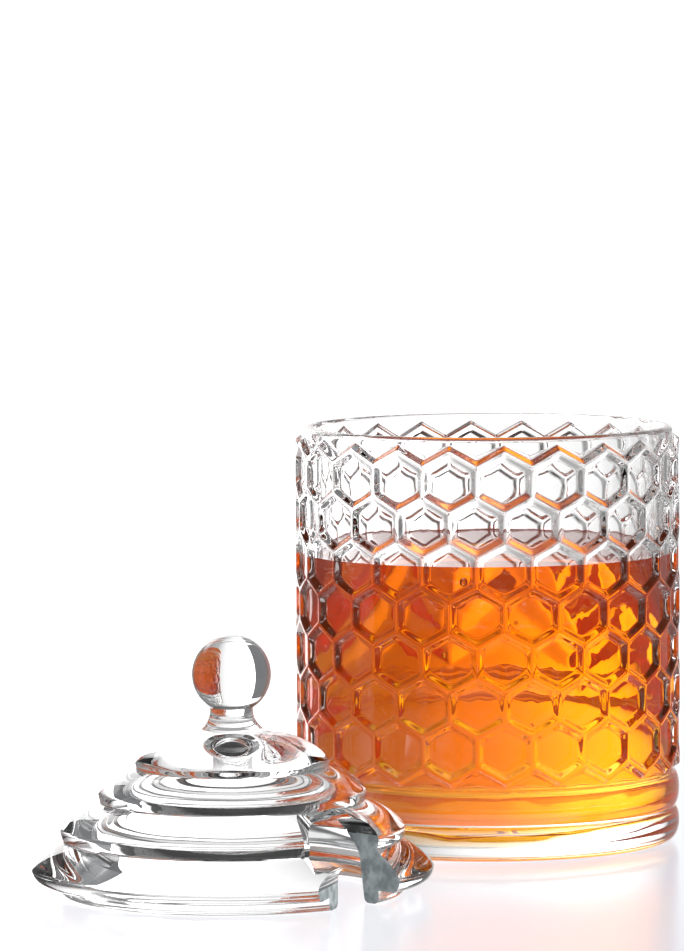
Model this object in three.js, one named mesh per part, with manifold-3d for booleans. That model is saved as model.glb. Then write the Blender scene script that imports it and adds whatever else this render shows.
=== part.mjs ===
// Beehive honey pot: a pressed glass jar with honeycomb relief, its honey, and the stepped lid beside it.
// Millimetres, +Z up. The origin is on the jar's axis, at the height of the table; -Y is the front.

import * as THREE from 'three';
import { mergeVertices } from 'three/addons/utils/BufferGeometryUtils.js';
import Module from 'manifold-3d';

const wasm = await Module();
wasm.setup();

// Jar: outer sizes
const jarHeight = 98.7;
const ridgeRadius = 45.5;
const wallRadius = 43.9;
const lipRound = 1.3;
const jarSegments = 56;

// Jar: cavity
const cavityRadius = 41;
const cavityFloor = 8.8;
const cavityCorner = 5;

// Honeycomb: upright cells in rows, every second row half a cell further round
const cellRows = 7;
const cellColumns = 22;
const levelsPerRow = 3;
const rowPitch = 10.41;
const firstRowHeight = 88.3;
const firstCellAzimuth = 3.9;
const cellFloorRadius = 44.2;
const cellFloorCentreRadius = 44.1;
const crestHalfWidth = 0.35;
const slantBevelWidth = 1.15;
const uprightBevelWidth = 0.95;

// Base: a rounded foot, a groove and a second rounded ring, as points in the (radius, height) plane
const footFlat = [41.2, 0];
const footCorner = [45.2, 0];
const footRing = [45.4, 4.6];
const footShoulder = [45.4, 7.4];
const groove = [44.4, 8.5];
const upperRingCorner = [45.4, 9.8];
const upperRing = [45.4, 12.8];
const upperRingShoulder = [45.3, 16.6];
const upperRingTop = [wallRadius, 17];

// Honey
const honeyLevel = 68.3;
const honeyGap = 0.35;
const honeySegments = 44;

// Lid: where it stands, its knob and neck, and its steps from the top down as (radius, height) points
const lidX = -59.5;
const lidY = -90.4;
const lidSegments = 42;
const knobRadius = 8.95;
const knobHeight = 49.3;
const knobLastAngle = 84;
const neckRadius = 4.85;
const neckBottom = 41.2;
const neckFlareRadius = 6.7;
const neckFlareHeight = 37.4;
const neckFlareRise = 1.6;
const steps = [
  { start: [7.6, 36.8], shoulder: [19.5, 34.5], rim: [21.95, 29.8], foot: [21.7, 28.2] },
  { start: [21.7, 28.2], shoulder: [28.8, 26.3], rim: [30.3, 23.0], foot: [29.8, 20.7] },
  { start: [29.8, 20.7], shoulder: [37.0, 18.6], rim: [38.9, 14.8], foot: [38.1, 12.0] },
  { start: [38.1, 12.0], shoulder: [43.8, 8.6], rim: [45.3, 6.1], foot: [43.5, 3.0] },
];
const locatingRingOuter = 38.8;
const locatingRingInner = 34.4;
const locatingRingRound = 1.3;

// Lid: its hollow, a steep foot, a straight slope and a rounded crown
const hollowFoot = [33.5, 7.3];
const hollowKnee = [33.4, 11.2];
const hollowSlopeFoot = [31.4, 13.2];
const hollowSlopeTop = [23.3, 21.3];
const hollowCrown = [14.8, 29.8];
const hollowTop = [0, 31];

// Lid notch, for a spoon's handle. Each tunnel starts in the hollow, at a point on its wall, and runs outward
const notchTop = 19.3;
const notchCorner = 4;
const notchShelf = 9;
const notchLength = 45;
const notchFloor = -1;
const notchTunnels = [
  { azimuth: 45, start: [23.3, -11.4], width: -9.4, bottom: notchFloor, top: notchTop },
  { azimuth: 18, start: [13.3, -21.4], width: 13, bottom: notchShelf, top: notchTop },
  { azimuth: -15, start: [23.7, -25.1], width: 13, bottom: notchFloor, top: notchShelf + 0.5 },
];

const glassMaterial = (name) => new THREE.MeshStandardMaterial({
  name,
  color: 0xf4f6f7,
  roughness: 0.03,
  metalness: 0,
  transparent: true,
  opacity: 0.4,
});

const honeyMaterial = new THREE.MeshStandardMaterial({
  name: 'honey',
  color: 0xe8830f,
  roughness: 0.1,
  metalness: 0,
});

// A mesh under construction: points by number, and triangles between them.
class Skin {
  constructor() {
    this.positions = [];
    this.triangles = [];
  }

  point(radius, angle, height) {
    this.positions.push(radius * Math.cos(angle), radius * Math.sin(angle), height);
    return this.positions.length / 3 - 1;
  }

  ring(radius, height, count) {
    const step = (2 * Math.PI) / count;
    return Array.from({ length: count }, (_, i) => ({
      id: this.point(radius, i * step, height),
      angle: i * step,
    }));
  }

  // Joins two closed rings whose points run the same way round, whatever their counts.
  bridge(near, far) {
    const turn = 2 * Math.PI;
    const at = (ring, i) => ring[i % ring.length];
    const angleAt = (ring, i) => at(ring, i).angle + turn * Math.floor(i / ring.length);
    let a = 0;
    let b = 0;
    while (a < near.length || b < far.length) {
      const nearNext = a < near.length ? angleAt(near, a + 1) : Infinity;
      const farNext = b < far.length ? angleAt(far, b + 1) : Infinity;
      if (nearNext <= farNext) {
        this.triangles.push(at(near, a).id, at(near, a + 1).id, at(far, b).id);
        a += 1;
      } else {
        this.triangles.push(at(near, a).id, at(far, b + 1).id, at(far, b).id);
        b += 1;
      }
    }
  }

  // Closes a loop of points onto one middle point.
  fan(loop, middle) {
    loop.forEach((id, i) => this.triangles.push(id, loop[(i + 1) % loop.length], middle));
  }

  // Joins two loops of equal count, outer to inner.
  collar(outer, inner) {
    outer.forEach((id, i) => {
      const next = (i + 1) % outer.length;
      this.triangles.push(id, outer[next], inner[next]);
      this.triangles.push(id, inner[next], inner[i]);
    });
  }

  geometry() {
    const geometry = new THREE.BufferGeometry();
    geometry.setAttribute('position', new THREE.Float32BufferAttribute(this.positions, 3));
    geometry.setIndex(this.triangles);
    geometry.computeVertexNormals();
    return geometry;
  }
}

// Points on an arc in the (radius, height) plane, angles in degrees.
function arc(centreRadius, centreHeight, round, from, to, count) {
  return Array.from({ length: count + 1 }, (_, i) => {
    const angle = THREE.MathUtils.degToRad(from + ((to - from) * i) / count);
    return [centreRadius + round * Math.cos(angle), centreHeight + round * Math.sin(angle)];
  });
}

// Points on a quadratic curve, without its first point.
function curve(start, control, end, count) {
  const vectors = [start, control, end].map((p) => new THREE.Vector2(...p));
  return new THREE.QuadraticBezierCurve(...vectors)
    .getPoints(count)
    .slice(1)
    .map((p) => [p.x, p.y]);
}

// The cavity's rounded lower edge and floor rim, drawn in by a clearance, from the wall to the floor.
function cavityCornerCurve(clearance) {
  const centreRadius = cavityRadius - cavityCorner;
  const centreHeight = cavityFloor + cavityCorner;
  return arc(centreRadius, centreHeight, cavityCorner - clearance, 0, -90, 4);
}

// The base from its flat to the top of the upper ring.
function baseProfile() {
  return [
    footFlat,
    ...curve(footFlat, footCorner, footRing, 4),
    ...curve(footRing, footShoulder, groove, 3),
    ...curve(groove, upperRingCorner, upperRing, 3),
    ...curve(upperRing, upperRingShoulder, upperRingTop, 4),
  ];
}

// The lip, from the smooth outer wall over the rim to the cavity wall.
function lipProfile() {
  const top = jarHeight - lipRound;
  return [
    ...arc(wallRadius - lipRound, top, lipRound, 0, 90, 4),
    ...arc(cavityRadius + lipRound, top, lipRound, 90, 180, 4),
  ];
}

// The honeycomb is laid out on a lattice: half columns round the jar, thirds of a row up it.
const halfColumns = 2 * cellColumns;
const levelHeight = rowPitch / levelsPerRow;
const halfColumnAngle = Math.PI / cellColumns;
const halfCellWidth = ridgeRadius * halfColumnAngle;
const slantStretch = Math.hypot(levelHeight, halfCellWidth) / halfCellWidth;

const columnAngle = (column) => (
  THREE.MathUtils.degToRad(firstCellAzimuth - 90) + column * halfColumnAngle
);

// The six corners of a cell's outline, drawn in from its slanted and upright edges.
function cellCorners(slantInset, uprightInset) {
  const tip = 2 * levelHeight - slantInset * slantStretch;
  const side = halfCellWidth - uprightInset;
  const corner = tip - (side * levelHeight) / halfCellWidth;
  return [[0, -tip], [side, -corner], [side, corner], [0, tip], [-side, corner], [-side, -corner]];
}

function addCell(skin, latticePoint, column, level) {
  const cornerSteps = [[0, -2], [1, -1], [1, 1], [0, 2], [-1, 1], [-1, -1]];
  const outline = cornerSteps.map(([across, up]) => latticePoint(column + across, level + up));
  const angle = columnAngle(column);
  const height = firstRowHeight + level * levelHeight;
  const loop = (corners, radius) => corners.map(([across, up]) => (
    skin.point(radius, angle + across / ridgeRadius, height + up)
  ));
  const crest = loop(cellCorners(crestHalfWidth, crestHalfWidth), ridgeRadius);
  const floorCorners = cellCorners(crestHalfWidth + slantBevelWidth, crestHalfWidth + uprightBevelWidth);
  const floor = loop(floorCorners, cellFloorRadius);
  skin.collar(outline, crest);
  skin.collar(crest, floor);
  skin.fan(floor, skin.point(cellFloorCentreRadius, angle, height));
}

// The zigzag edge of the honeycomb as rings, shifted up or down from the outermost corners.
function zigzagRings(skin, latticePoint, peakLevel, direction) {
  const columns = Array.from({ length: halfColumns }, (_, i) => i);
  const levelOf = (column) => peakLevel - (column % 2) * direction;
  const shifted = (radius, offset) => columns.map((column) => ({
    id: skin.point(
      radius,
      columnAngle(column),
      firstRowHeight + levelOf(column) * levelHeight + direction * offset * slantStretch,
    ),
    angle: columnAngle(column),
  }));
  const lattice = columns.map((column) => ({
    id: latticePoint(column, levelOf(column)),
    angle: columnAngle(column),
  }));
  return {
    lattice,
    crest: shifted(ridgeRadius, crestHalfWidth),
    foot: shifted(wallRadius, crestHalfWidth + slantBevelWidth),
  };
}

// Starts a ring at its first point whose angle is not negative, so that rings line up.
function fromZero(ring) {
  const turn = 2 * Math.PI;
  const wrapped = ring.map((p) => ({ id: p.id, angle: ((p.angle % turn) + turn) % turn }));
  return wrapped.sort((p, q) => p.angle - q.angle);
}

function jarGeometry() {
  const skin = new Skin();
  const latticeIds = new Map();
  const latticePoint = (column, level) => {
    const wrapped = (column + halfColumns) % halfColumns;
    const key = `${wrapped},${level}`;
    if (!latticeIds.has(key)) {
      const height = firstRowHeight + level * levelHeight;
      latticeIds.set(key, skin.point(ridgeRadius, columnAngle(wrapped), height));
    }
    return latticeIds.get(key);
  };

  for (let row = 0; row < cellRows; row += 1) {
    for (let cell = 0; cell < cellColumns; cell += 1) {
      addCell(skin, latticePoint, 2 * cell + (row % 2), -levelsPerRow * row);
    }
  }

  const below = zigzagRings(skin, latticePoint, -levelsPerRow * (cellRows - 1) - 2, -1);
  const above = zigzagRings(skin, latticePoint, 2, 1);
  const roundRing = ([radius, height]) => skin.ring(radius, height, jarSegments);
  const base = baseProfile().map(roundRing);
  const lip = lipProfile().map(roundRing);
  const corner = cavityCornerCurve(0).map(roundRing);
  const outside = [...base, below.foot, below.crest, below.lattice].map(fromZero);
  const inside = [above.lattice, above.crest, above.foot, ...lip, ...corner].map(fromZero);
  for (const path of [outside, inside]) {
    for (let i = 1; i < path.length; i += 1) {
      skin.bridge(path[i - 1], path[i]);
    }
  }
  const ids = (ring) => ring.map((p) => p.id);
  skin.fan(ids(base[0]).reverse(), skin.point(0, 0, 0));
  skin.fan(ids(corner[corner.length - 1]), skin.point(0, 0, cavityFloor));
  return skin.geometry();
}

// A solid of revolution about Z from a profile that starts and ends on the axis, lowest point first.
function turned(profile, segments) {
  const points = profile.map(([radius, height]) => new THREE.Vector2(radius, height));
  const geometry = new THREE.LatheGeometry(points, segments);
  geometry.rotateX(Math.PI / 2);
  return geometry;
}

function honeyGeometry() {
  const corner = cavityCornerCurve(honeyGap).reverse();
  const profile = [
    [0, cavityFloor + honeyGap],
    ...corner,
    [cavityRadius - honeyGap, honeyLevel],
    [0, honeyLevel],
  ];
  return turned(profile, honeySegments);
}

// The lid's outline from the middle of its hollow, round the locating ring and up over the knob.
function lidProfile() {
  const knobStart = THREE.MathUtils.radToDeg(Math.acos(neckRadius / knobRadius));
  const ringTop = steps[steps.length - 1].foot[1];
  const flare = [neckFlareRadius, neckFlareHeight];
  const risingSteps = [...steps].reverse();
  const outer = risingSteps.flatMap((step) => [
    ...curve(step.foot, [step.rim[0], (2 * step.foot[1] + step.rim[1]) / 3], step.rim, 3),
    ...curve(step.rim, step.shoulder, step.start, 4),
  ]);
  return [
    hollowTop,
    ...curve(hollowTop, hollowCrown, hollowSlopeTop, 4),
    hollowSlopeFoot,
    ...curve(hollowSlopeFoot, hollowKnee, hollowFoot, 2),
    ...arc(locatingRingInner + locatingRingRound, locatingRingRound, locatingRingRound, 180, 270, 2),
    ...arc(locatingRingOuter - locatingRingRound, locatingRingRound, locatingRingRound, 270, 360, 2),
    [locatingRingOuter, ringTop],
    risingSteps[0].foot,
    ...outer,
    flare,
    ...curve(flare, [neckRadius, neckFlareHeight + neckFlareRise], [neckRadius, neckBottom], 2),
    ...arc(0, knobHeight, knobRadius, -knobStart, knobLastAngle, 10),
    [0, knobHeight + knobRadius],
  ];
}

// One tunnel of the notch: its outer upper corner is rounded, its azimuth is counted from the front,
// and it lies to the right of its wall, or to the left where the width is negative.
function notchTunnel({ azimuth, start, width, bottom, top }) {
  const shape = new THREE.Shape();
  shape.moveTo(0, bottom);
  shape.lineTo(width, bottom);
  shape.lineTo(width, top);
  shape.lineTo(Math.sign(width) * notchCorner, top);
  shape.quadraticCurveTo(0, top, 0, top - notchCorner);
  shape.closePath();
  const geometry = new THREE.ExtrudeGeometry(shape, {
    depth: notchLength,
    bevelEnabled: false,
    curveSegments: 5,
  });
  const heading = THREE.MathUtils.degToRad(azimuth);
  const sideways = new THREE.Vector3(Math.cos(heading), Math.sin(heading), 0);
  const upward = new THREE.Vector3(0, 0, 1);
  const outward = sideways.clone().cross(upward);
  const placed = new THREE.Matrix4().makeBasis(sideways, upward, outward);
  placed.setPosition(start[0], start[1], 0);
  geometry.applyMatrix4(placed);
  return geometry;
}

function toManifold(geometry) {
  const bare = geometry.clone();
  bare.deleteAttribute('normal');
  bare.deleteAttribute('uv');
  const merged = mergeVertices(bare, 1e-4);
  return new wasm.Manifold(new wasm.Mesh({
    numProp: 3,
    vertProperties: new Float32Array(merged.attributes.position.array),
    triVerts: new Uint32Array(merged.index.array),
  }));
}

function fromManifold(solid) {
  const mesh = solid.getMesh();
  const geometry = new THREE.BufferGeometry();
  geometry.setAttribute('position', new THREE.BufferAttribute(mesh.vertProperties, 3));
  geometry.setIndex(new THREE.BufferAttribute(mesh.triVerts, 1));
  geometry.computeVertexNormals();
  return geometry;
}

function lidGeometry() {
  let lid = toManifold(turned(lidProfile(), lidSegments));
  for (const tunnel of notchTunnels) {
    lid = lid.subtract(toManifold(notchTunnel(tunnel)));
  }
  return fromManifold(lid);
}

function named(name, geometry, material) {
  const mesh = new THREE.Mesh(geometry, material);
  mesh.name = name;
  return mesh;
}

const jar = named('jar', jarGeometry(), glassMaterial('jar_glass'));
const honey = named('honey', honeyGeometry(), honeyMaterial);
const lid = named('lid', lidGeometry(), glassMaterial('lid_glass'));
lid.position.set(lidX, lidY, 0);

const honeyPot = new THREE.Group();
honeyPot.add(jar, honey, lid);

export default honeyPot;
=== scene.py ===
"""Looks for the beehive honey pot: pressed glass jar, honey and stepped lid, in bright studio light."""

import math

import bmesh
import bpy
from mathutils import Matrix, Vector


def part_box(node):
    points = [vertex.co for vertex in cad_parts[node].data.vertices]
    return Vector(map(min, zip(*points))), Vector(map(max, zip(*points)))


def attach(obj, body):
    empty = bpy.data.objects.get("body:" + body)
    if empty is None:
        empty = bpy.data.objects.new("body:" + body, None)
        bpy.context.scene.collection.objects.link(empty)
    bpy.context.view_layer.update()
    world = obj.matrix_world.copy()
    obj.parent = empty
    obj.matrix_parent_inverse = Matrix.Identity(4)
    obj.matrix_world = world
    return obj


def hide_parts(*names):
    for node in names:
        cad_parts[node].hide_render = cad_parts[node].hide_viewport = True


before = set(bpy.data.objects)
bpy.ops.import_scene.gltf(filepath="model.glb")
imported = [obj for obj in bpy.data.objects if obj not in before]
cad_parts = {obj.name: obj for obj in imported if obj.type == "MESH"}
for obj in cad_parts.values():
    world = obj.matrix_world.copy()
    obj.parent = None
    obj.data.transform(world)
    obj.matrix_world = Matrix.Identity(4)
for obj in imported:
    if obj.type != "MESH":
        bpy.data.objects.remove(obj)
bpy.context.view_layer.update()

MM = 0.001
BODY = "root"
WELD_DISTANCE = 2e-6
ROUND_SEGMENTS = 256
WHITE = (1.0, 1.0, 1.0, 1.0)

# Jar, in millimetres like the sizes of the honey and the lid
JAR_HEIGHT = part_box("jar")[1].z / MM
RIDGE_RADIUS = 45.5
WALL_RADIUS = 43.9
RING_RADIUS = 45.4
LIP_ROUND = 1.3
CAVITY_RADIUS = 41.0
CAVITY_FLOOR = 8.8
CAVITY_CORNER = 5.0

# Honeycomb: rows lie three levels apart, and a cell's tips lie two levels from its centre
CELL_ROWS = 7
CELL_COLUMNS = 22
ROW_PITCH = 10.41
LEVELS_PER_ROW = 3
TIP_LEVELS = 2
FIRST_ROW_HEIGHT = 88.3
FIRST_CELL_AZIMUTH = 3.9
CELL_FLOOR_RADIUS = 44.2
CELL_FLOOR_CENTRE_RADIUS = 44.1
HALF_COLUMNS = 2 * CELL_COLUMNS
LEVEL_HEIGHT = ROW_PITCH / LEVELS_PER_ROW
HALF_COLUMN_ANGLE = math.pi / CELL_COLUMNS
HALF_CELL_WIDTH = RIDGE_RADIUS * HALF_COLUMN_ANGLE
SLANT_STRETCH = math.hypot(LEVEL_HEIGHT, HALF_CELL_WIDTH) / HALF_CELL_WIDTH

# Ridges between the cells: a flat crest, then sides that are partly straight and partly eased
CREST_HALF_WIDTH = 0.35
SLANT_BEVEL = 1.15
UPRIGHT_BEVEL = 0.95
STRAIGHT_PART = 0.45
EASED_PART = 0.55

# Rings of a cell: along a ridge's side from crest to foot, and on the floor towards the centre
BEVEL_SHARES = (0.12, 0.3, 0.5, 0.7, 0.88, 1.0)
FLOOR_SHARES = (0.92, 0.6, 0.25)

# Points along one side of a cell, and how far its corners are rounded at the crest and below
SIDE_SHARES = (0.0, 0.08, 0.25, 0.5, 0.75, 0.92)
CREST_ROUNDING = 0.04
BEVEL_ROUNDING = 0.05
BEVEL_ROUNDING_GAIN = 0.3
CORNER_SHARPNESS = 6

# Rings on the smooth wall, as shares of the way from the zigzag edge to the lip or the upper ring
WALL_SHARES = (0.33, 0.66)

# Base, from the dome underneath and the flat foot up to the top of the upper ring
DOME_RADIUS = 36.0
DOME_HEIGHT = 3.0
DOME_RINGS = 12
FOOT_FLAT_RADIUS = 41.2
FOOT_CORNER_RADIUS = 45.2
LOWER_RING_HEIGHT = 4.6
LOWER_RING_SHOULDER = 7.4
GROOVE_RADIUS = 44.4
GROOVE_HEIGHT = 8.5
UPPER_RING_SHOULDER = 9.8
UPPER_RING_HEIGHT = 12.8
UPPER_RING_CORNER = (45.3, 16.6)
UPPER_RING_TOP = 17.0

# Honey: it reaches into the glass, and its surface, just below the solid's, climbs near the wall
HONEY_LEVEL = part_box("honey")[1].z / MM
WALL_OVERLAP = 0.12
SURFACE_DROP = 0.1
SURFACE_CLIMB = 0.45
SURFACE_REACH = 2.6
SURFACE_POWER = 3
SURFACE_RINGS = 12

# Bubbles in the honey: azimuth from the front, distance from the axis, height and radius
BUBBLES = (
    (-9.0, 39.3, 64.2, 0.95),
    (-15.5, 39.0, 47.6, 0.7),
    (8.0, 38.6, 54.6, 0.45),
    (27.0, 37.5, 40.0, 0.5),
    (-31.0, 38.2, 58.0, 0.4),
    (14.0, 36.0, 30.5, 0.55),
)
BUBBLE_SUBDIVISIONS = 3

# Lid: its place beside the jar, and points of its profile as (radius, height)
LID_X = -59.5
LID_Y = -90.4
STEPS = (
    {"start": (7.6, 36.8), "shoulder": (19.5, 34.5), "rim": (21.95, 29.8), "foot": (21.7, 28.2)},
    {"start": (21.7, 28.2), "shoulder": (28.8, 26.3), "rim": (30.3, 23.0), "foot": (29.8, 20.7)},
    {"start": (29.8, 20.7), "shoulder": (37.0, 18.6), "rim": (38.9, 14.8), "foot": (38.1, 12.0)},
    {"start": (38.1, 12.0), "shoulder": (43.8, 8.6), "rim": (45.3, 6.1), "foot": (43.5, 3.0)},
)
LOCATING_RING = {"outer": 38.8, "inner": 34.4, "round": 1.3}
HOLLOW = {
    "foot": (33.5, 7.3), "knee": (33.4, 11.2), "slope_foot": (31.4, 13.2), "slope_top": (23.3, 21.3),
    "crown": (14.8, 29.8), "top": (0, 31),
}
NECK = {
    "radius": 4.85, "bottom": 41.2, "flare": 6.7, "flare_height": 37.4, "rise": 1.6,
    "toe_out": 0.2, "toe_down": 0.45,
}
KNOB_RADIUS = 8.95
KNOB_HEIGHT = 49.3
KNOB_LAST_ANGLE = 88
SHARP_EDGE_ANGLE = math.radians(38)

# Notch, cut by three tunnels; a start is across and back from the lid's axis
NOTCH_TOP = 19.3
NOTCH_CORNER = 4.0
NOTCH_SHELF = 9.0
NOTCH_SHELF_OVERLAP = 0.5
NOTCH_BOTTOM = -1.0
NOTCH_LENGTH = 45.0
NOTCH_TUNNELS = (
    {
        "azimuth": 45, "start": (23.3, -11.4), "width": -9.4,
        "bottom": NOTCH_BOTTOM, "top": NOTCH_TOP, "ground": True,
    },
    {
        "azimuth": 18, "start": (13.3, -21.4), "width": 13.0,
        "bottom": NOTCH_SHELF, "top": NOTCH_TOP, "ground": False,
    },
    {
        "azimuth": -15, "start": (23.7, -25.1), "width": 13.0,
        "bottom": NOTCH_BOTTOM, "top": NOTCH_SHELF + NOTCH_SHELF_OVERLAP, "ground": True,
    },
)

# Pressed glass, with the slow waves that a mould leaves; the waves' distance is in metres
GLASS_IOR = 1.5
WAVE_SCALE = 90.0
WAVE_DETAIL = 1.0
WAVE_STRENGTH = 0.12
WAVE_DISTANCE = 0.0006

# Ground glass: tones are places in the grain and their colours
GROUND_ROUGHNESS = 0.45
GROUND_TRANSMISSION = 0.3
GRAIN_SCALE = 350.0
GRAIN_DETAIL = 4.0
GRAIN_STRENGTH = 0.4
GRAIN_DISTANCE = 0.0004
GRAIN_TONES = ((0.38, (0.30, 0.35, 0.36, 1)), (0.62, (0.66, 0.74, 0.75, 1)))

# Honey's look: what it takes from light by depth, and a weak painted glow in place of the light that real
# honey scatters
HONEY_IOR = 1.49
HONEY_COLOUR = (0.981, 0.818, 0.0, 1.0)
HONEY_DENSITY = 110.0
PAINTED_GLOW_COLOUR = (1.0, 0.16, 0.01, 1.0)
PAINTED_GLOW_STRENGTH = 3.0

# Camera, placed in metres
SENSOR_WIDTH = 36.0
LENS_LENGTH = 258.2
CLIP_END = 50.0
CAMERA_PLACE = (-0.0344, -1.6114, 0.2102)
CAMERA_PITCH = math.radians(4.377)
CAMERA_ROLL = math.radians(-0.299)

# Floor, in metres; its own light runs from left to right, with painted shade that makes it dimmer and bluer
# to the right
FLOOR_HALF_WIDTH = 0.55
FLOOR_NEAR = -0.75
FLOOR_FAR = 1.4
FLOOR_HEIGHT = -0.0002
FLOOR_BASE = (0.07, 0.07, 0.07, 1.0)
FLOOR_ROUGHNESS = 0.2
FLOOR_GLOSS = 0.08
FLOOR_LIGHT_AND_PAINTED_SHADE = ((0, (0.80, 0.80, 0.83, 1)), (1, (0.58, 0.605, 0.655, 1)))
FLOOR_PAINTED_SHADE_REACH = 0.06

# Backdrop, in millimetres: tones are places and light, and the tint is red and green against blue
BACKDROP_NEAR = (-195.0, 177.0)
BACKDROP_FAR = (-390.0, -130.0)
BACKDROP_LOW = -220.0
BACKDROP_HIGH = 190.0
BACKDROP_BASE = (0.02, 0.02, 0.02, 1.0)
BACKDROP_TINT = (0.95, 0.97)
BACKDROP_TONES = ((0, 0.6), (0.28, 0.6), (0.36, 0.3), (0.48, 0.3), (0.56, 0.17), (1, 0.18))

# Studio light by direction: azimuth is 0 behind the object and grows to the right
HALF_TURN = 180
FULL_TURN = 360
PANEL_BY_AZIMUTH = (
    (-180, 0), (-68, 0), (-58, 0.5), (-47, 1.9), (-32, 3.0), (-18, 2.8), (-8, 1.9), (0, 1.25),
    (10, 0.9), (18, 0.5), (42, 0.36), (70, 0.25), (95, 0), (180, 0),
)
PANEL_BY_ELEVATION = ((-90, 0), (-51, 0), (-46, 1), (34, 1), (39, 0), (90, 0))
APRON_BY_AZIMUTH = ((-180, 0.4), (-80, 0.3), (-60, 0), (60, 0), (80, 0.4), (180, 0.4))
APRON_BY_ELEVATION = ((-90, 0), (-56, 0), (-50, 1), (-11, 1), (-7, 0), (90, 0))
ROOM_BY_ELEVATION = (
    (-90, 0.95), (-61, 0.9), (-54, 0.15), (-20, 0.13), (30, 0.13), (50, 0.05), (90, 0.03),
)
SOFT_LIGHT = 0.8

# How often light may bounce
GLASS_BOUNCES = 32
GLOSSY_BOUNCES = 8


def new_material(name):
    """A material with its nodes, their links and its main shader."""
    material = bpy.data.materials.new(name)
    material.use_nodes = True
    nodes, links = material.node_tree.nodes, material.node_tree.links
    return material, nodes, links, nodes["Principled BSDF"]


def fill_ramp(node, stops):
    """Sets the stops of a colour ramp, each a place from 0 to 1 and a colour."""
    elements = node.color_ramp.elements
    while len(elements) < len(stops):
        elements.new(0.5)
    for element, (place, colour) in zip(elements, stops):
        element.position = place
        element.color = colour


def glass_material():
    """Clear pressed glass, with the slow waves that a mould leaves."""
    material, nodes, links, shader = new_material("clear_glass")
    shader.inputs["Base Color"].default_value = WHITE
    shader.inputs["Roughness"].default_value = 0.0
    shader.inputs["IOR"].default_value = GLASS_IOR
    shader.inputs["Transmission Weight"].default_value = 1.0
    place = nodes.new("ShaderNodeTexCoord")
    waves = nodes.new("ShaderNodeTexNoise")
    waves.inputs["Scale"].default_value = WAVE_SCALE
    waves.inputs["Detail"].default_value = WAVE_DETAIL
    bump = nodes.new("ShaderNodeBump")
    bump.inputs["Strength"].default_value = WAVE_STRENGTH
    bump.inputs["Distance"].default_value = WAVE_DISTANCE
    links.new(place.outputs["Object"], waves.inputs["Vector"])
    links.new(waves.outputs["Fac"], bump.inputs["Height"])
    links.new(bump.outputs["Normal"], shader.inputs["Normal"])
    return material


def ground_glass_material():
    """The notch's ground faces: frosted, slightly grey and a little uneven."""
    material, nodes, links, shader = new_material("ground_glass")
    shader.inputs["Roughness"].default_value = GROUND_ROUGHNESS
    shader.inputs["IOR"].default_value = GLASS_IOR
    shader.inputs["Transmission Weight"].default_value = GROUND_TRANSMISSION
    place = nodes.new("ShaderNodeTexCoord")
    grain = nodes.new("ShaderNodeTexNoise")
    grain.inputs["Scale"].default_value = GRAIN_SCALE
    grain.inputs["Detail"].default_value = GRAIN_DETAIL
    tones = nodes.new("ShaderNodeValToRGB")
    fill_ramp(tones, GRAIN_TONES)
    bump = nodes.new("ShaderNodeBump")
    bump.inputs["Strength"].default_value = GRAIN_STRENGTH
    bump.inputs["Distance"].default_value = GRAIN_DISTANCE
    links.new(place.outputs["Object"], grain.inputs["Vector"])
    links.new(grain.outputs["Fac"], tones.inputs[0])
    links.new(grain.outputs["Fac"], bump.inputs["Height"])
    links.new(tones.outputs["Color"], shader.inputs["Base Color"])
    links.new(bump.outputs["Normal"], shader.inputs["Normal"])
    return material


def honey_material():
    """Clear amber honey: it colours light by depth, and has a faint painted glow in place of the light that
    real honey scatters.
    """
    material, nodes, links, shader = new_material("honey_liquid")
    shader.inputs["Base Color"].default_value = WHITE
    shader.inputs["Roughness"].default_value = 0.0
    shader.inputs["IOR"].default_value = HONEY_IOR
    shader.inputs["Transmission Weight"].default_value = 1.0
    depth = nodes.new("ShaderNodeVolumeAbsorption")
    depth.inputs["Color"].default_value = HONEY_COLOUR
    depth.inputs["Density"].default_value = HONEY_DENSITY
    # painted glow: the honey gives off a faint light of its own in place of the light that real honey
    # scatters
    painted_glow = nodes.new("ShaderNodeEmission")
    painted_glow.inputs["Color"].default_value = PAINTED_GLOW_COLOUR
    painted_glow.inputs["Strength"].default_value = PAINTED_GLOW_STRENGTH
    both = nodes.new("ShaderNodeAddShader")
    links.new(depth.outputs["Volume"], both.inputs[0])
    links.new(painted_glow.outputs["Emission"], both.inputs[1])
    links.new(both.outputs["Shader"], nodes["Material Output"].inputs["Volume"])
    return material


def add_piece(name, vertices, faces, materials, slot, *nodes):
    """A shaded piece in metres, with its faces' winding made consistent, standing for CAD nodes."""
    mesh = bpy.data.meshes.new(name)
    mesh.from_pydata(vertices, [], faces)
    work = bmesh.new()
    work.from_mesh(mesh)
    bmesh.ops.remove_doubles(work, verts=work.verts, dist=WELD_DISTANCE)
    bmesh.ops.recalc_face_normals(work, faces=work.faces)
    work.to_mesh(mesh)
    work.free()
    for material in materials:
        mesh.materials.append(material)
    mesh.shade_smooth()
    piece = bpy.data.objects.new(name, mesh)
    bpy.context.scene.collection.objects.link(piece)
    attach(piece, BODY)
    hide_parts(*nodes)
    return piece


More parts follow.
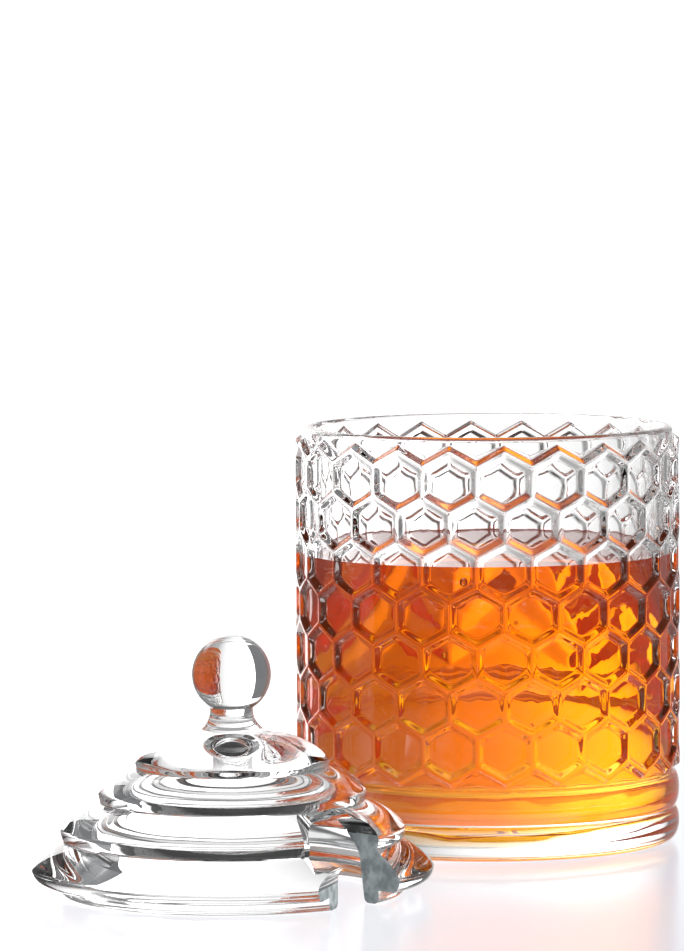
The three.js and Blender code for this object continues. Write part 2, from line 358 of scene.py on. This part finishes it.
class Surface:
    """The points and faces of one piece, added ring by ring."""

    def __init__(self):
        self.vertices = []
        self.faces = []

    def add(self, points):
        """Adds points and gives back their numbers."""
        first = len(self.vertices)
        self.vertices.extend(points)
        return list(range(first, len(self.vertices)))

    def join(self, near, far):
        """Faces between two rings that have as many points as each other."""
        for i in range(len(near)):
            after = (i + 1) % len(near)
            self.faces.append((near[i], near[after], far[after], far[i]))

    def join_path(self, rings):
        """Faces between each ring and the next."""
        for near, far in zip(rings, rings[1:]):
            self.join(near, far)

    def close(self, ring, centre):
        """Faces from a ring to a new point at its centre."""
        middle = self.add([centre])[0]
        for i in range(len(ring)):
            self.faces.append((ring[i], ring[(i + 1) % len(ring)], middle))


def point(radius, angle, height):
    """A point round the jar's axis, from millimetres to metres."""
    return (radius * MM * math.cos(angle), radius * MM * math.sin(angle), height * MM)


def arc(centre_radius, centre_height, radius, start, end, count):
    """Points on an arc in the (radius, height) plane, angles in degrees."""
    found = []
    for i in range(count + 1):
        angle = math.radians(start + (end - start) * i / count)
        found.append((centre_radius + radius * math.cos(angle), centre_height + radius * math.sin(angle)))
    return found


def curve(start, control, end, count):
    """Points on a quadratic curve, without its first point."""
    found = []
    for i in range(1, count + 1):
        t = i / count
        weights = ((1 - t) ** 2, 2 * t * (1 - t), t ** 2)
        corners = (start, control, end)
        found.append(tuple(
            sum(weight * corner[axis] for weight, corner in zip(weights, corners))
            for axis in (0, 1)
        ))
    return found


def soft_ramp(share):
    """A ramp from 0 to 1 with its ends eased, as the side of a moulded ridge."""
    eased = share * share * (3 - 2 * share)
    return STRAIGHT_PART * share + EASED_PART * eased


def column_angle(column):
    """The direction of a place in the honeycomb, counted in half columns from the first cell."""
    return math.radians(FIRST_CELL_AZIMUTH - 90) + column * HALF_COLUMN_ANGLE


def cell_corners(slant_inset, upright_inset):
    """The corners of a cell's outline, drawn in from its slanted and upright edges."""
    tip = TIP_LEVELS * LEVEL_HEIGHT - slant_inset * SLANT_STRETCH
    side = HALF_CELL_WIDTH - upright_inset
    corner = tip - side * LEVEL_HEIGHT / HALF_CELL_WIDTH
    return [(0, -tip), (side, -corner), (side, corner), (0, tip), (-side, corner), (-side, -corner)]


def cell_outline(slant_inset, upright_inset, rounding):
    """Points across and up along a cell's outline, with its corners rounded."""
    corners = cell_corners(slant_inset, upright_inset)
    ring = []
    for i, (x0, y0) in enumerate(corners):
        x1, y1 = corners[(i + 1) % len(corners)]
        for share in SIDE_SHARES:
            near_corner = (2 * abs(share - 0.5)) ** CORNER_SHARPNESS
            x = x0 + (x1 - x0) * share
            y = y0 + (y1 - y0) * share
            keep = 1 - rounding * near_corner / math.hypot(x, y)
            ring.append((x * keep, y * keep))
    return ring


def cell_loops():
    """The rings of one cell from its ridge's middle to its centre: (points across and up, radius)."""
    crest = CREST_HALF_WIDTH
    loops = [
        (cell_outline(0, 0, 0), RIDGE_RADIUS),
        (cell_outline(crest, crest, CREST_ROUNDING), RIDGE_RADIUS),
    ]
    depth = RIDGE_RADIUS - CELL_FLOOR_RADIUS
    for share in BEVEL_SHARES:
        rounding = BEVEL_ROUNDING + BEVEL_ROUNDING_GAIN * share
        ring = cell_outline(crest + SLANT_BEVEL * share, crest + UPRIGHT_BEVEL * share, rounding)
        loops.append((ring, RIDGE_RADIUS - depth * soft_ramp(share)))
    floor_ring = loops[-1][0]
    sink = CELL_FLOOR_RADIUS - CELL_FLOOR_CENTRE_RADIUS
    for keep in FLOOR_SHARES:
        ring = [(x * keep, y * keep) for x, y in floor_ring]
        loops.append((ring, CELL_FLOOR_CENTRE_RADIUS + sink * keep ** 2))
    return loops


def add_cells(surface):
    """Every cell of the honeycomb, from the middle of the ridges round it to its centre."""
    for row in range(CELL_ROWS):
        height = FIRST_ROW_HEIGHT - row * ROW_PITCH
        for cell in range(CELL_COLUMNS):
            angle = column_angle(2 * cell + row % 2)
            rings = []
            for ring, radius in cell_loops():
                places = [point(radius, angle + x / RIDGE_RADIUS, height + y) for x, y in ring]
                rings.append(surface.add(places))
            surface.join_path(rings)
            surface.close(rings[-1], point(CELL_FLOOR_CENTRE_RADIUS, angle, height))


def dome_profile():
    """The shallow dome under the jar, from its edge to near its top."""
    return [
        (DOME_RADIUS * math.sqrt(1 - i / DOME_RINGS), DOME_HEIGHT * i / DOME_RINGS)
        for i in range(DOME_RINGS)
    ]


def base_profile():
    """From the edge of the flat foot to the top of the upper ring."""
    foot = (FOOT_FLAT_RADIUS, 0)
    lower_ring = (RING_RADIUS, LOWER_RING_HEIGHT)
    groove = (GROOVE_RADIUS, GROOVE_HEIGHT)
    upper_ring = (RING_RADIUS, UPPER_RING_HEIGHT)
    return [
        foot,
        *curve(foot, (FOOT_CORNER_RADIUS, 0), lower_ring, count=10),
        *curve(lower_ring, (RING_RADIUS, LOWER_RING_SHOULDER), groove, count=7),
        *curve(groove, (RING_RADIUS, UPPER_RING_SHOULDER), upper_ring, count=7),
        *curve(upper_ring, UPPER_RING_CORNER, (WALL_RADIUS, UPPER_RING_TOP), count=8),
    ]


def lip_profile():
    """Over the rim, from the outer wall to the cavity's wall."""
    top = JAR_HEIGHT - LIP_ROUND
    return [
        *arc(WALL_RADIUS - LIP_ROUND, top, LIP_ROUND, 0, 90, count=8),
        *arc(CAVITY_RADIUS + LIP_ROUND, top, LIP_ROUND, 90, 180, count=8),
    ]


def cavity_corner(overlap):
    """The rounded lower edge of the cavity, from its wall to its floor, moved out by an overlap."""
    centre = (CAVITY_RADIUS - CAVITY_CORNER, CAVITY_FLOOR + CAVITY_CORNER)
    return arc(*centre, CAVITY_CORNER + overlap, 0, -90, count=10)


def add_round(surface, angles, profile):
    """A ring round the jar for each radius and height of a profile."""
    return [
        surface.add([point(radius, angle, height) for angle in angles])
        for radius, height in profile
    ]


def zigzag_height(i, peak_level, direction):
    """The height of the zigzag edge at one of the points round the jar."""
    column, side = divmod(i, len(SIDE_SHARES))
    rise = SIDE_SHARES[side] if column % 2 == 0 else 1 - SIDE_SHARES[side]
    return FIRST_ROW_HEIGHT + (peak_level - direction * rise) * LEVEL_HEIGHT


def add_zigzag(surface, angles, peak_level, direction, edge_height):
    """The zigzag edge, from the middle of its ridge out to the smooth wall beyond it."""
    ridge = [zigzag_height(i, peak_level, direction) for i in range(len(angles))]
    depth = RIDGE_RADIUS - WALL_RADIUS
    steps = [(0, RIDGE_RADIUS), (CREST_HALF_WIDTH, RIDGE_RADIUS)]
    for share in BEVEL_SHARES:
        steps.append((CREST_HALF_WIDTH + SLANT_BEVEL * share, RIDGE_RADIUS - depth * soft_ramp(share)))
    rings = []
    for offset, radius in steps:
        shift = direction * offset * SLANT_STRETCH
        rings.append(surface.add([
            point(radius, angle, height + shift)
            for angle, height in zip(angles, ridge)
        ]))
    foot_shift = direction * (CREST_HALF_WIDTH + SLANT_BEVEL) * SLANT_STRETCH
    for share in WALL_SHARES:
        rings.append(surface.add([
            point(WALL_RADIUS, angle, (height + foot_shift) * (1 - share) + edge_height * share)
            for angle, height in zip(angles, ridge)
        ]))
    return rings


def build_jar(material):
    """The jar in one closed skin: honeycomb, base, lip, cavity and the dome underneath."""
    surface = Surface()
    angles = [
        column_angle(column + share)
        for column in range(HALF_COLUMNS)
        for share in SIDE_SHARES
    ]
    add_cells(surface)
    bottom_level = -LEVELS_PER_ROW * (CELL_ROWS - 1) - TIP_LEVELS
    base = add_round(surface, angles, base_profile())
    lip = add_round(surface, angles, lip_profile())
    corner = add_round(surface, angles, cavity_corner(0))
    below = add_zigzag(surface, angles, bottom_level, -1, UPPER_RING_TOP)
    above = add_zigzag(surface, angles, TIP_LEVELS, 1, JAR_HEIGHT - LIP_ROUND)
    surface.join_path([*base, *reversed(below)])
    surface.join_path([*above, *lip, *corner])
    dome = add_round(surface, angles, dome_profile())
    surface.join_path([base[0], *dome])
    surface.close(dome[-1], (0.0, 0.0, DOME_HEIGHT * MM))
    surface.close(corner[-1], (0.0, 0.0, CAVITY_FLOOR * MM))
    return add_piece("jar_pressed_glass", surface.vertices, surface.faces, [material], "clear_glass", "jar")


def turned(profile, centre=(0.0, 0.0)):
    """A solid of revolution from a profile that starts and ends on the axis."""
    vertices, faces, rings = [], [], []
    for radius, height in profile:
        first = len(vertices)
        if radius == 0:
            vertices.append((centre[0] * MM, centre[1] * MM, height * MM))
            rings.append([first] * ROUND_SEGMENTS)
            continue
        for i in range(ROUND_SEGMENTS):
            x, y, z = point(radius, 2 * math.pi * i / ROUND_SEGMENTS, height)
            vertices.append((x + centre[0] * MM, y + centre[1] * MM, z))
        rings.append(list(range(first, len(vertices))))
    for near, far in zip(rings, rings[1:]):
        for i in range(ROUND_SEGMENTS):
            after = (i + 1) % ROUND_SEGMENTS
            corners = (near[i], near[after], far[after], far[i])
            faces.append(tuple(dict.fromkeys(corners)))
    return vertices, faces


def honey_profile():
    """The honey from its bottom up the wall and over its surface to the axis."""
    surface = []
    for i in range(SURFACE_RINGS + 1):
        share = i / SURFACE_RINGS
        climb = SURFACE_CLIMB * (1 - share) ** SURFACE_POWER
        surface.append((CAVITY_RADIUS - SURFACE_REACH * share, HONEY_LEVEL + climb - SURFACE_DROP))
    return [
        (0, CAVITY_FLOOR - WALL_OVERLAP),
        *reversed(cavity_corner(WALL_OVERLAP)),
        (CAVITY_RADIUS + WALL_OVERLAP, HONEY_LEVEL + SURFACE_CLIMB - SURFACE_DROP),
        *surface,
        (0, HONEY_LEVEL - SURFACE_DROP),
    ]


def add_bubbles(mesh):
    """Small round hollows in the honey, with their faces turned towards the honey."""
    work = bmesh.new()
    work.from_mesh(mesh)
    for angle, distance, height, radius in BUBBLES:
        place = Matrix.Translation(point(distance, math.radians(angle - 90), height))
        made = bmesh.ops.create_icosphere(
            work, subdivisions=BUBBLE_SUBDIVISIONS, radius=radius * MM, matrix=place)
        walls = list({face for vertex in made["verts"] for face in vertex.link_faces})
        bmesh.ops.reverse_faces(work, faces=walls)
    work.to_mesh(mesh)
    work.free()
    mesh.shade_smooth()


def build_honey(material):
    """The honey, reaching just into the glass, with its surface drawn up a little at the wall."""
    vertices, faces = turned(honey_profile())
    honey = add_piece("honey_fill", vertices, faces, [material], "honey", "honey")
    add_bubbles(honey.data)
    return honey


def lid_profile():
    """The lid's section from the top of its hollow, round the locating ring and up to the knob."""
    rising = STEPS[::-1]
    foot_height = rising[0]["foot"][1]
    ring_round = LOCATING_RING["round"]
    outer = []
    for step in rising:
        lower = (step["rim"][0], (2 * step["foot"][1] + step["rim"][1]) / 3)
        outer += curve(step["foot"], lower, step["rim"], count=8)
        outer += curve(step["rim"], step["shoulder"], step["start"], count=14)
    flare = (NECK["flare"], NECK["flare_height"])
    toe = (flare[0] + NECK["toe_out"], flare[1] - NECK["toe_down"])
    knob_start = math.degrees(math.acos(NECK["radius"] / KNOB_RADIUS))
    slope_middle = tuple((a + b) / 2 for a, b in zip(HOLLOW["slope_top"], HOLLOW["slope_foot"]))
    return [
        HOLLOW["top"],
        *curve(HOLLOW["top"], HOLLOW["crown"], HOLLOW["slope_top"], count=24),
        *curve(HOLLOW["slope_top"], slope_middle, HOLLOW["slope_foot"], count=4),
        *curve(HOLLOW["slope_foot"], HOLLOW["knee"], HOLLOW["foot"], count=8),
        *arc(LOCATING_RING["inner"] + ring_round, ring_round, ring_round, 180, 270, count=6),
        *arc(LOCATING_RING["outer"] - ring_round, ring_round, ring_round, 270, 360, count=6),
        (LOCATING_RING["outer"], foot_height),
        rising[0]["foot"],
        *outer,
        *curve(STEPS[0]["start"], toe, flare, count=3),
        *curve(flare, (NECK["radius"], flare[1] + NECK["rise"]), (NECK["radius"], NECK["bottom"]), count=10),
        *arc(0, KNOB_HEIGHT, KNOB_RADIUS, -knob_start, KNOB_LAST_ANGLE, count=40),
        (0, KNOB_HEIGHT + KNOB_RADIUS),
    ]


def notch_section(width, bottom, top):
    """A tunnel's section across and up, with an upper corner rounded; its last side is the notch's wall."""
    inset = math.copysign(NOTCH_CORNER, width)
    rounding = curve((inset, top), (0, top), (0, top - NOTCH_CORNER), count=8)
    return [(0, bottom), (width, bottom), (width, top), (inset, top), *rounding]


def notch_cutter(tunnel, materials):
    """One tunnel of the notch as a closed object that a Boolean takes away."""
    section = notch_section(tunnel["width"], tunnel["bottom"], tunnel["top"])
    heading = math.radians(tunnel["azimuth"])
    sideways = Vector((math.cos(heading), math.sin(heading), 0))
    outward = Vector((math.sin(heading), -math.cos(heading), 0))
    start = Vector((LID_X + tunnel["start"][0], LID_Y + tunnel["start"][1], 0))
    vertices = []
    for reach in (0.0, NOTCH_LENGTH):
        for across, height in section:
            place = start + sideways * across + outward * reach + Vector((0, 0, height))
            vertices.append(tuple(place * MM))
    count = len(section)
    faces = [tuple(range(count)), tuple(range(2 * count - 1, count - 1, -1))]
    faces += [(i, i + count, (i + 1) % count + count, (i + 1) % count) for i in range(count)]
    mesh = bpy.data.meshes.new("notch_cutter")
    mesh.from_pydata(vertices, [], faces)
    work = bmesh.new()
    work.from_mesh(mesh)
    bmesh.ops.recalc_face_normals(work, faces=work.faces)
    work.to_mesh(mesh)
    work.free()
    for material in materials:
        mesh.materials.append(material)
    wall = mesh.polygons[len(mesh.polygons) - 1]
    wall.material_index = 1 if tunnel["ground"] else 0
    cutter = bpy.data.objects.new("notch_cutter", mesh)
    bpy.context.scene.collection.objects.link(cutter)
    return cutter


def build_lid(glass, ground):
    """The lid beside the jar, with its notch cut out and the notch's side walls frosted."""
    vertices, faces = turned(lid_profile(), (LID_X, LID_Y))
    lid = add_piece("lid_pressed_glass", vertices, faces, [glass, ground], "clear_glass", "lid")
    for tunnel in NOTCH_TUNNELS:
        cutter = notch_cutter(tunnel, (glass, ground))
        cut = lid.modifiers.new("notch", "BOOLEAN")
        cut.operation = "DIFFERENCE"
        cut.solver = "EXACT"
        cut.material_mode = "TRANSFER"
        cut.object = cutter
        evaluated = lid.evaluated_get(bpy.context.evaluated_depsgraph_get())
        lid.data = bpy.data.meshes.new_from_object(evaluated)
        lid.modifiers.clear()
        bpy.data.objects.remove(cutter)
    lid.data.set_sharp_from_angle(angle=SHARP_EDGE_ANGLE)
    return lid


def build_camera():
    """The photograph's view, fitted to the ellipses of the jar and the lid."""
    data = bpy.data.cameras.new("camera")
    data.sensor_width = SENSOR_WIDTH
    data.lens = LENS_LENGTH
    data.clip_end = CLIP_END
    camera = bpy.data.objects.new("camera", data)
    bpy.context.scene.collection.objects.link(camera)
    forward = Vector((0, math.cos(CAMERA_PITCH), -math.sin(CAMERA_PITCH)))
    level_up = Vector((0, math.sin(CAMERA_PITCH), math.cos(CAMERA_PITCH)))
    level_right = Vector((1, 0, 0))
    right = level_right * math.cos(CAMERA_ROLL) + level_up * math.sin(CAMERA_ROLL)
    up = level_up * math.cos(CAMERA_ROLL) - level_right * math.sin(CAMERA_ROLL)
    turn = Matrix((right, up, -forward)).transposed()
    camera.matrix_world = Matrix.Translation(CAMERA_PLACE) @ turn.to_4x4()
    bpy.context.scene.camera = camera


def add_sheet(name, corners, material):
    """A flat sheet with four corners in metres."""
    mesh = bpy.data.meshes.new(name)
    mesh.from_pydata(corners, [], [(0, 1, 2, 3)])
    mesh.materials.append(material)
    sheet = bpy.data.objects.new(name, mesh)
    bpy.context.scene.collection.objects.link(sheet)
    return sheet


def floor_material():
    """Slightly glossy paper with a light of its own, and painted shade that makes it a little dimmer and
    bluer to the right.
    """
    material, nodes, links, shader = new_material("floor_paper")
    shader.inputs["Base Color"].default_value = FLOOR_BASE
    shader.inputs["Roughness"].default_value = FLOOR_ROUGHNESS
    shader.inputs["Specular IOR Level"].default_value = FLOOR_GLOSS
    shader.inputs["Emission Strength"].default_value = 1.0
    place = nodes.new("ShaderNodeTexCoord")
    axes = nodes.new("ShaderNodeSeparateXYZ")
    reach = nodes.new("ShaderNodeMapRange")
    reach.interpolation_type = "SMOOTHSTEP"
    reach.inputs["From Min"].default_value = -FLOOR_PAINTED_SHADE_REACH
    reach.inputs["From Max"].default_value = FLOOR_PAINTED_SHADE_REACH
    tones = nodes.new("ShaderNodeValToRGB")
    # painted shade: the floor's own light grows dimmer and bluer to the right
    fill_ramp(tones, FLOOR_LIGHT_AND_PAINTED_SHADE)
    links.new(place.outputs["Object"], axes.inputs[0])
    links.new(axes.outputs["X"], reach.inputs["Value"])
    links.new(reach.outputs["Result"], tones.inputs[0])
    links.new(tones.outputs["Color"], shader.inputs["Emission Color"])
    return material


def build_floor():
    """A pale sheet that meets the white behind it softly; reflections and glass don't see it."""
    corners = [
        (-FLOOR_HALF_WIDTH, FLOOR_NEAR, FLOOR_HEIGHT),
        (FLOOR_HALF_WIDTH, FLOOR_NEAR, FLOOR_HEIGHT),
        (FLOOR_HALF_WIDTH, FLOOR_FAR, FLOOR_HEIGHT),
        (-FLOOR_HALF_WIDTH, FLOOR_FAR, FLOOR_HEIGHT),
    ]
    floor = add_sheet("floor", corners, floor_material())
    floor.visible_glossy = False
    floor.visible_transmission = False


def backdrop_material():
    """Dark paper with a light of its own, in soft tones along it."""
    material, nodes, links, shader = new_material("backdrop_paper")
    shader.inputs["Base Color"].default_value = BACKDROP_BASE
    shader.inputs["Emission Strength"].default_value = 1.0
    red, green = BACKDROP_TINT
    place = nodes.new("ShaderNodeTexCoord")
    axes = nodes.new("ShaderNodeSeparateXYZ")
    tones = nodes.new("ShaderNodeValToRGB")
    fill_ramp(tones, [(share, (red * light, green * light, light, 1)) for share, light in BACKDROP_TONES])
    links.new(place.outputs["Generated"], axes.inputs[0])
    links.new(axes.outputs["X"], tones.inputs[0])
    links.new(tones.outputs["Color"], shader.inputs["Emission Color"])
    return material


def build_backdrop():
    """A low backdrop to the left, out of the camera's sight, that glass and glossy faces see."""
    corners = [
        (*BACKDROP_NEAR, BACKDROP_LOW),
        (*BACKDROP_FAR, BACKDROP_LOW),
        (*BACKDROP_FAR, BACKDROP_HIGH),
        (*BACKDROP_NEAR, BACKDROP_HIGH),
    ]
    backdrop = add_sheet("backdrop", [tuple(Vector(corner) * MM) for corner in corners], backdrop_material())
    backdrop.visible_camera = False
    backdrop.visible_diffuse = False
    backdrop.visible_shadow = False


def build_world():
    """White to the camera; to glass, a bright panel behind, a low apron in front and a grey room."""
    world = bpy.data.worlds.new("studio")
    bpy.context.scene.world = world
    world.use_nodes = True
    nodes, links = world.node_tree.nodes, world.node_tree.links
    background = nodes["Background"]
    place = nodes.new("ShaderNodeTexCoord")
    axes = nodes.new("ShaderNodeSeparateXYZ")
    links.new(place.outputs["Generated"], axes.inputs[0])

    def maths(operation, first, second=None):
        """The result of one operation on numbers or on other nodes' results."""
        node = nodes.new("ShaderNodeMath")
        node.operation = operation
        for socket, value in zip(node.inputs, (first, second)):
            if value is None:
                continue
            if isinstance(value, (int, float)):
                socket.default_value = value
            else:
                links.new(value, socket)
        return node.outputs[0]

    def light_by(angle_share, stops, whole, brightest=1):
        """Light by angle from stops in degrees, as a share of the brightest."""
        node = nodes.new("ShaderNodeValToRGB")
        shares = [(0.5 + angle / whole, light / brightest) for angle, light in stops]
        fill_ramp(node, [(position, (share, share, share, 1)) for position, share in shares])
        links.new(angle_share, node.inputs[0])
        return node.outputs["Color"]

    azimuth = maths("ARCTAN2", axes.outputs["X"], axes.outputs["Y"])
    turn_share = maths("ADD", maths("MULTIPLY", azimuth, 0.5 / math.pi), 0.5)
    elevation = maths("ARCSINE", axes.outputs["Z"])
    height_share = maths("ADD", maths("MULTIPLY", elevation, 1 / math.pi), 0.5)

    brightest = max(light for _, light in PANEL_BY_AZIMUTH)
    panel_across = light_by(turn_share, PANEL_BY_AZIMUTH, FULL_TURN, brightest)
    panel_high = light_by(height_share, PANEL_BY_ELEVATION, HALF_TURN)
    panel = maths("MULTIPLY", maths("MULTIPLY", panel_across, panel_high), brightest)
    room = light_by(height_share, ROOM_BY_ELEVATION, HALF_TURN)
    apron_across = light_by(turn_share, APRON_BY_AZIMUTH, FULL_TURN)
    apron_high = light_by(height_share, APRON_BY_ELEVATION, HALF_TURN)
    apron = maths("MULTIPLY", apron_across, apron_high)
    strength = maths("MAXIMUM", maths("MAXIMUM", panel, room), apron)
    path = nodes.new("ShaderNodeLightPath")
    soft = maths("MULTIPLY", path.outputs["Is Diffuse Ray"], SOFT_LIGHT)
    seen = maths("MAXIMUM", maths("MAXIMUM", path.outputs["Is Camera Ray"], soft), strength)
    links.new(seen, background.inputs["Strength"])
    background.inputs["Color"].default_value = WHITE


def set_colours():
    """Plain colours, and bounces enough for light to cross the jar, the honey and the lid."""
    scene = bpy.context.scene
    scene.view_settings.view_transform = "Standard"
    scene.view_settings.look = "None"
    scene.cycles.max_bounces = GLASS_BOUNCES
    scene.cycles.transmission_bounces = GLASS_BOUNCES
    scene.cycles.glossy_bounces = GLOSSY_BOUNCES
    scene.cycles.transparent_max_bounces = GLASS_BOUNCES


clear_glass = glass_material()
build_camera()
build_world()
build_floor()
build_backdrop()
build_jar(clear_glass)
build_honey(honey_material())
build_lid(clear_glass, ground_glass_material())
set_colours()
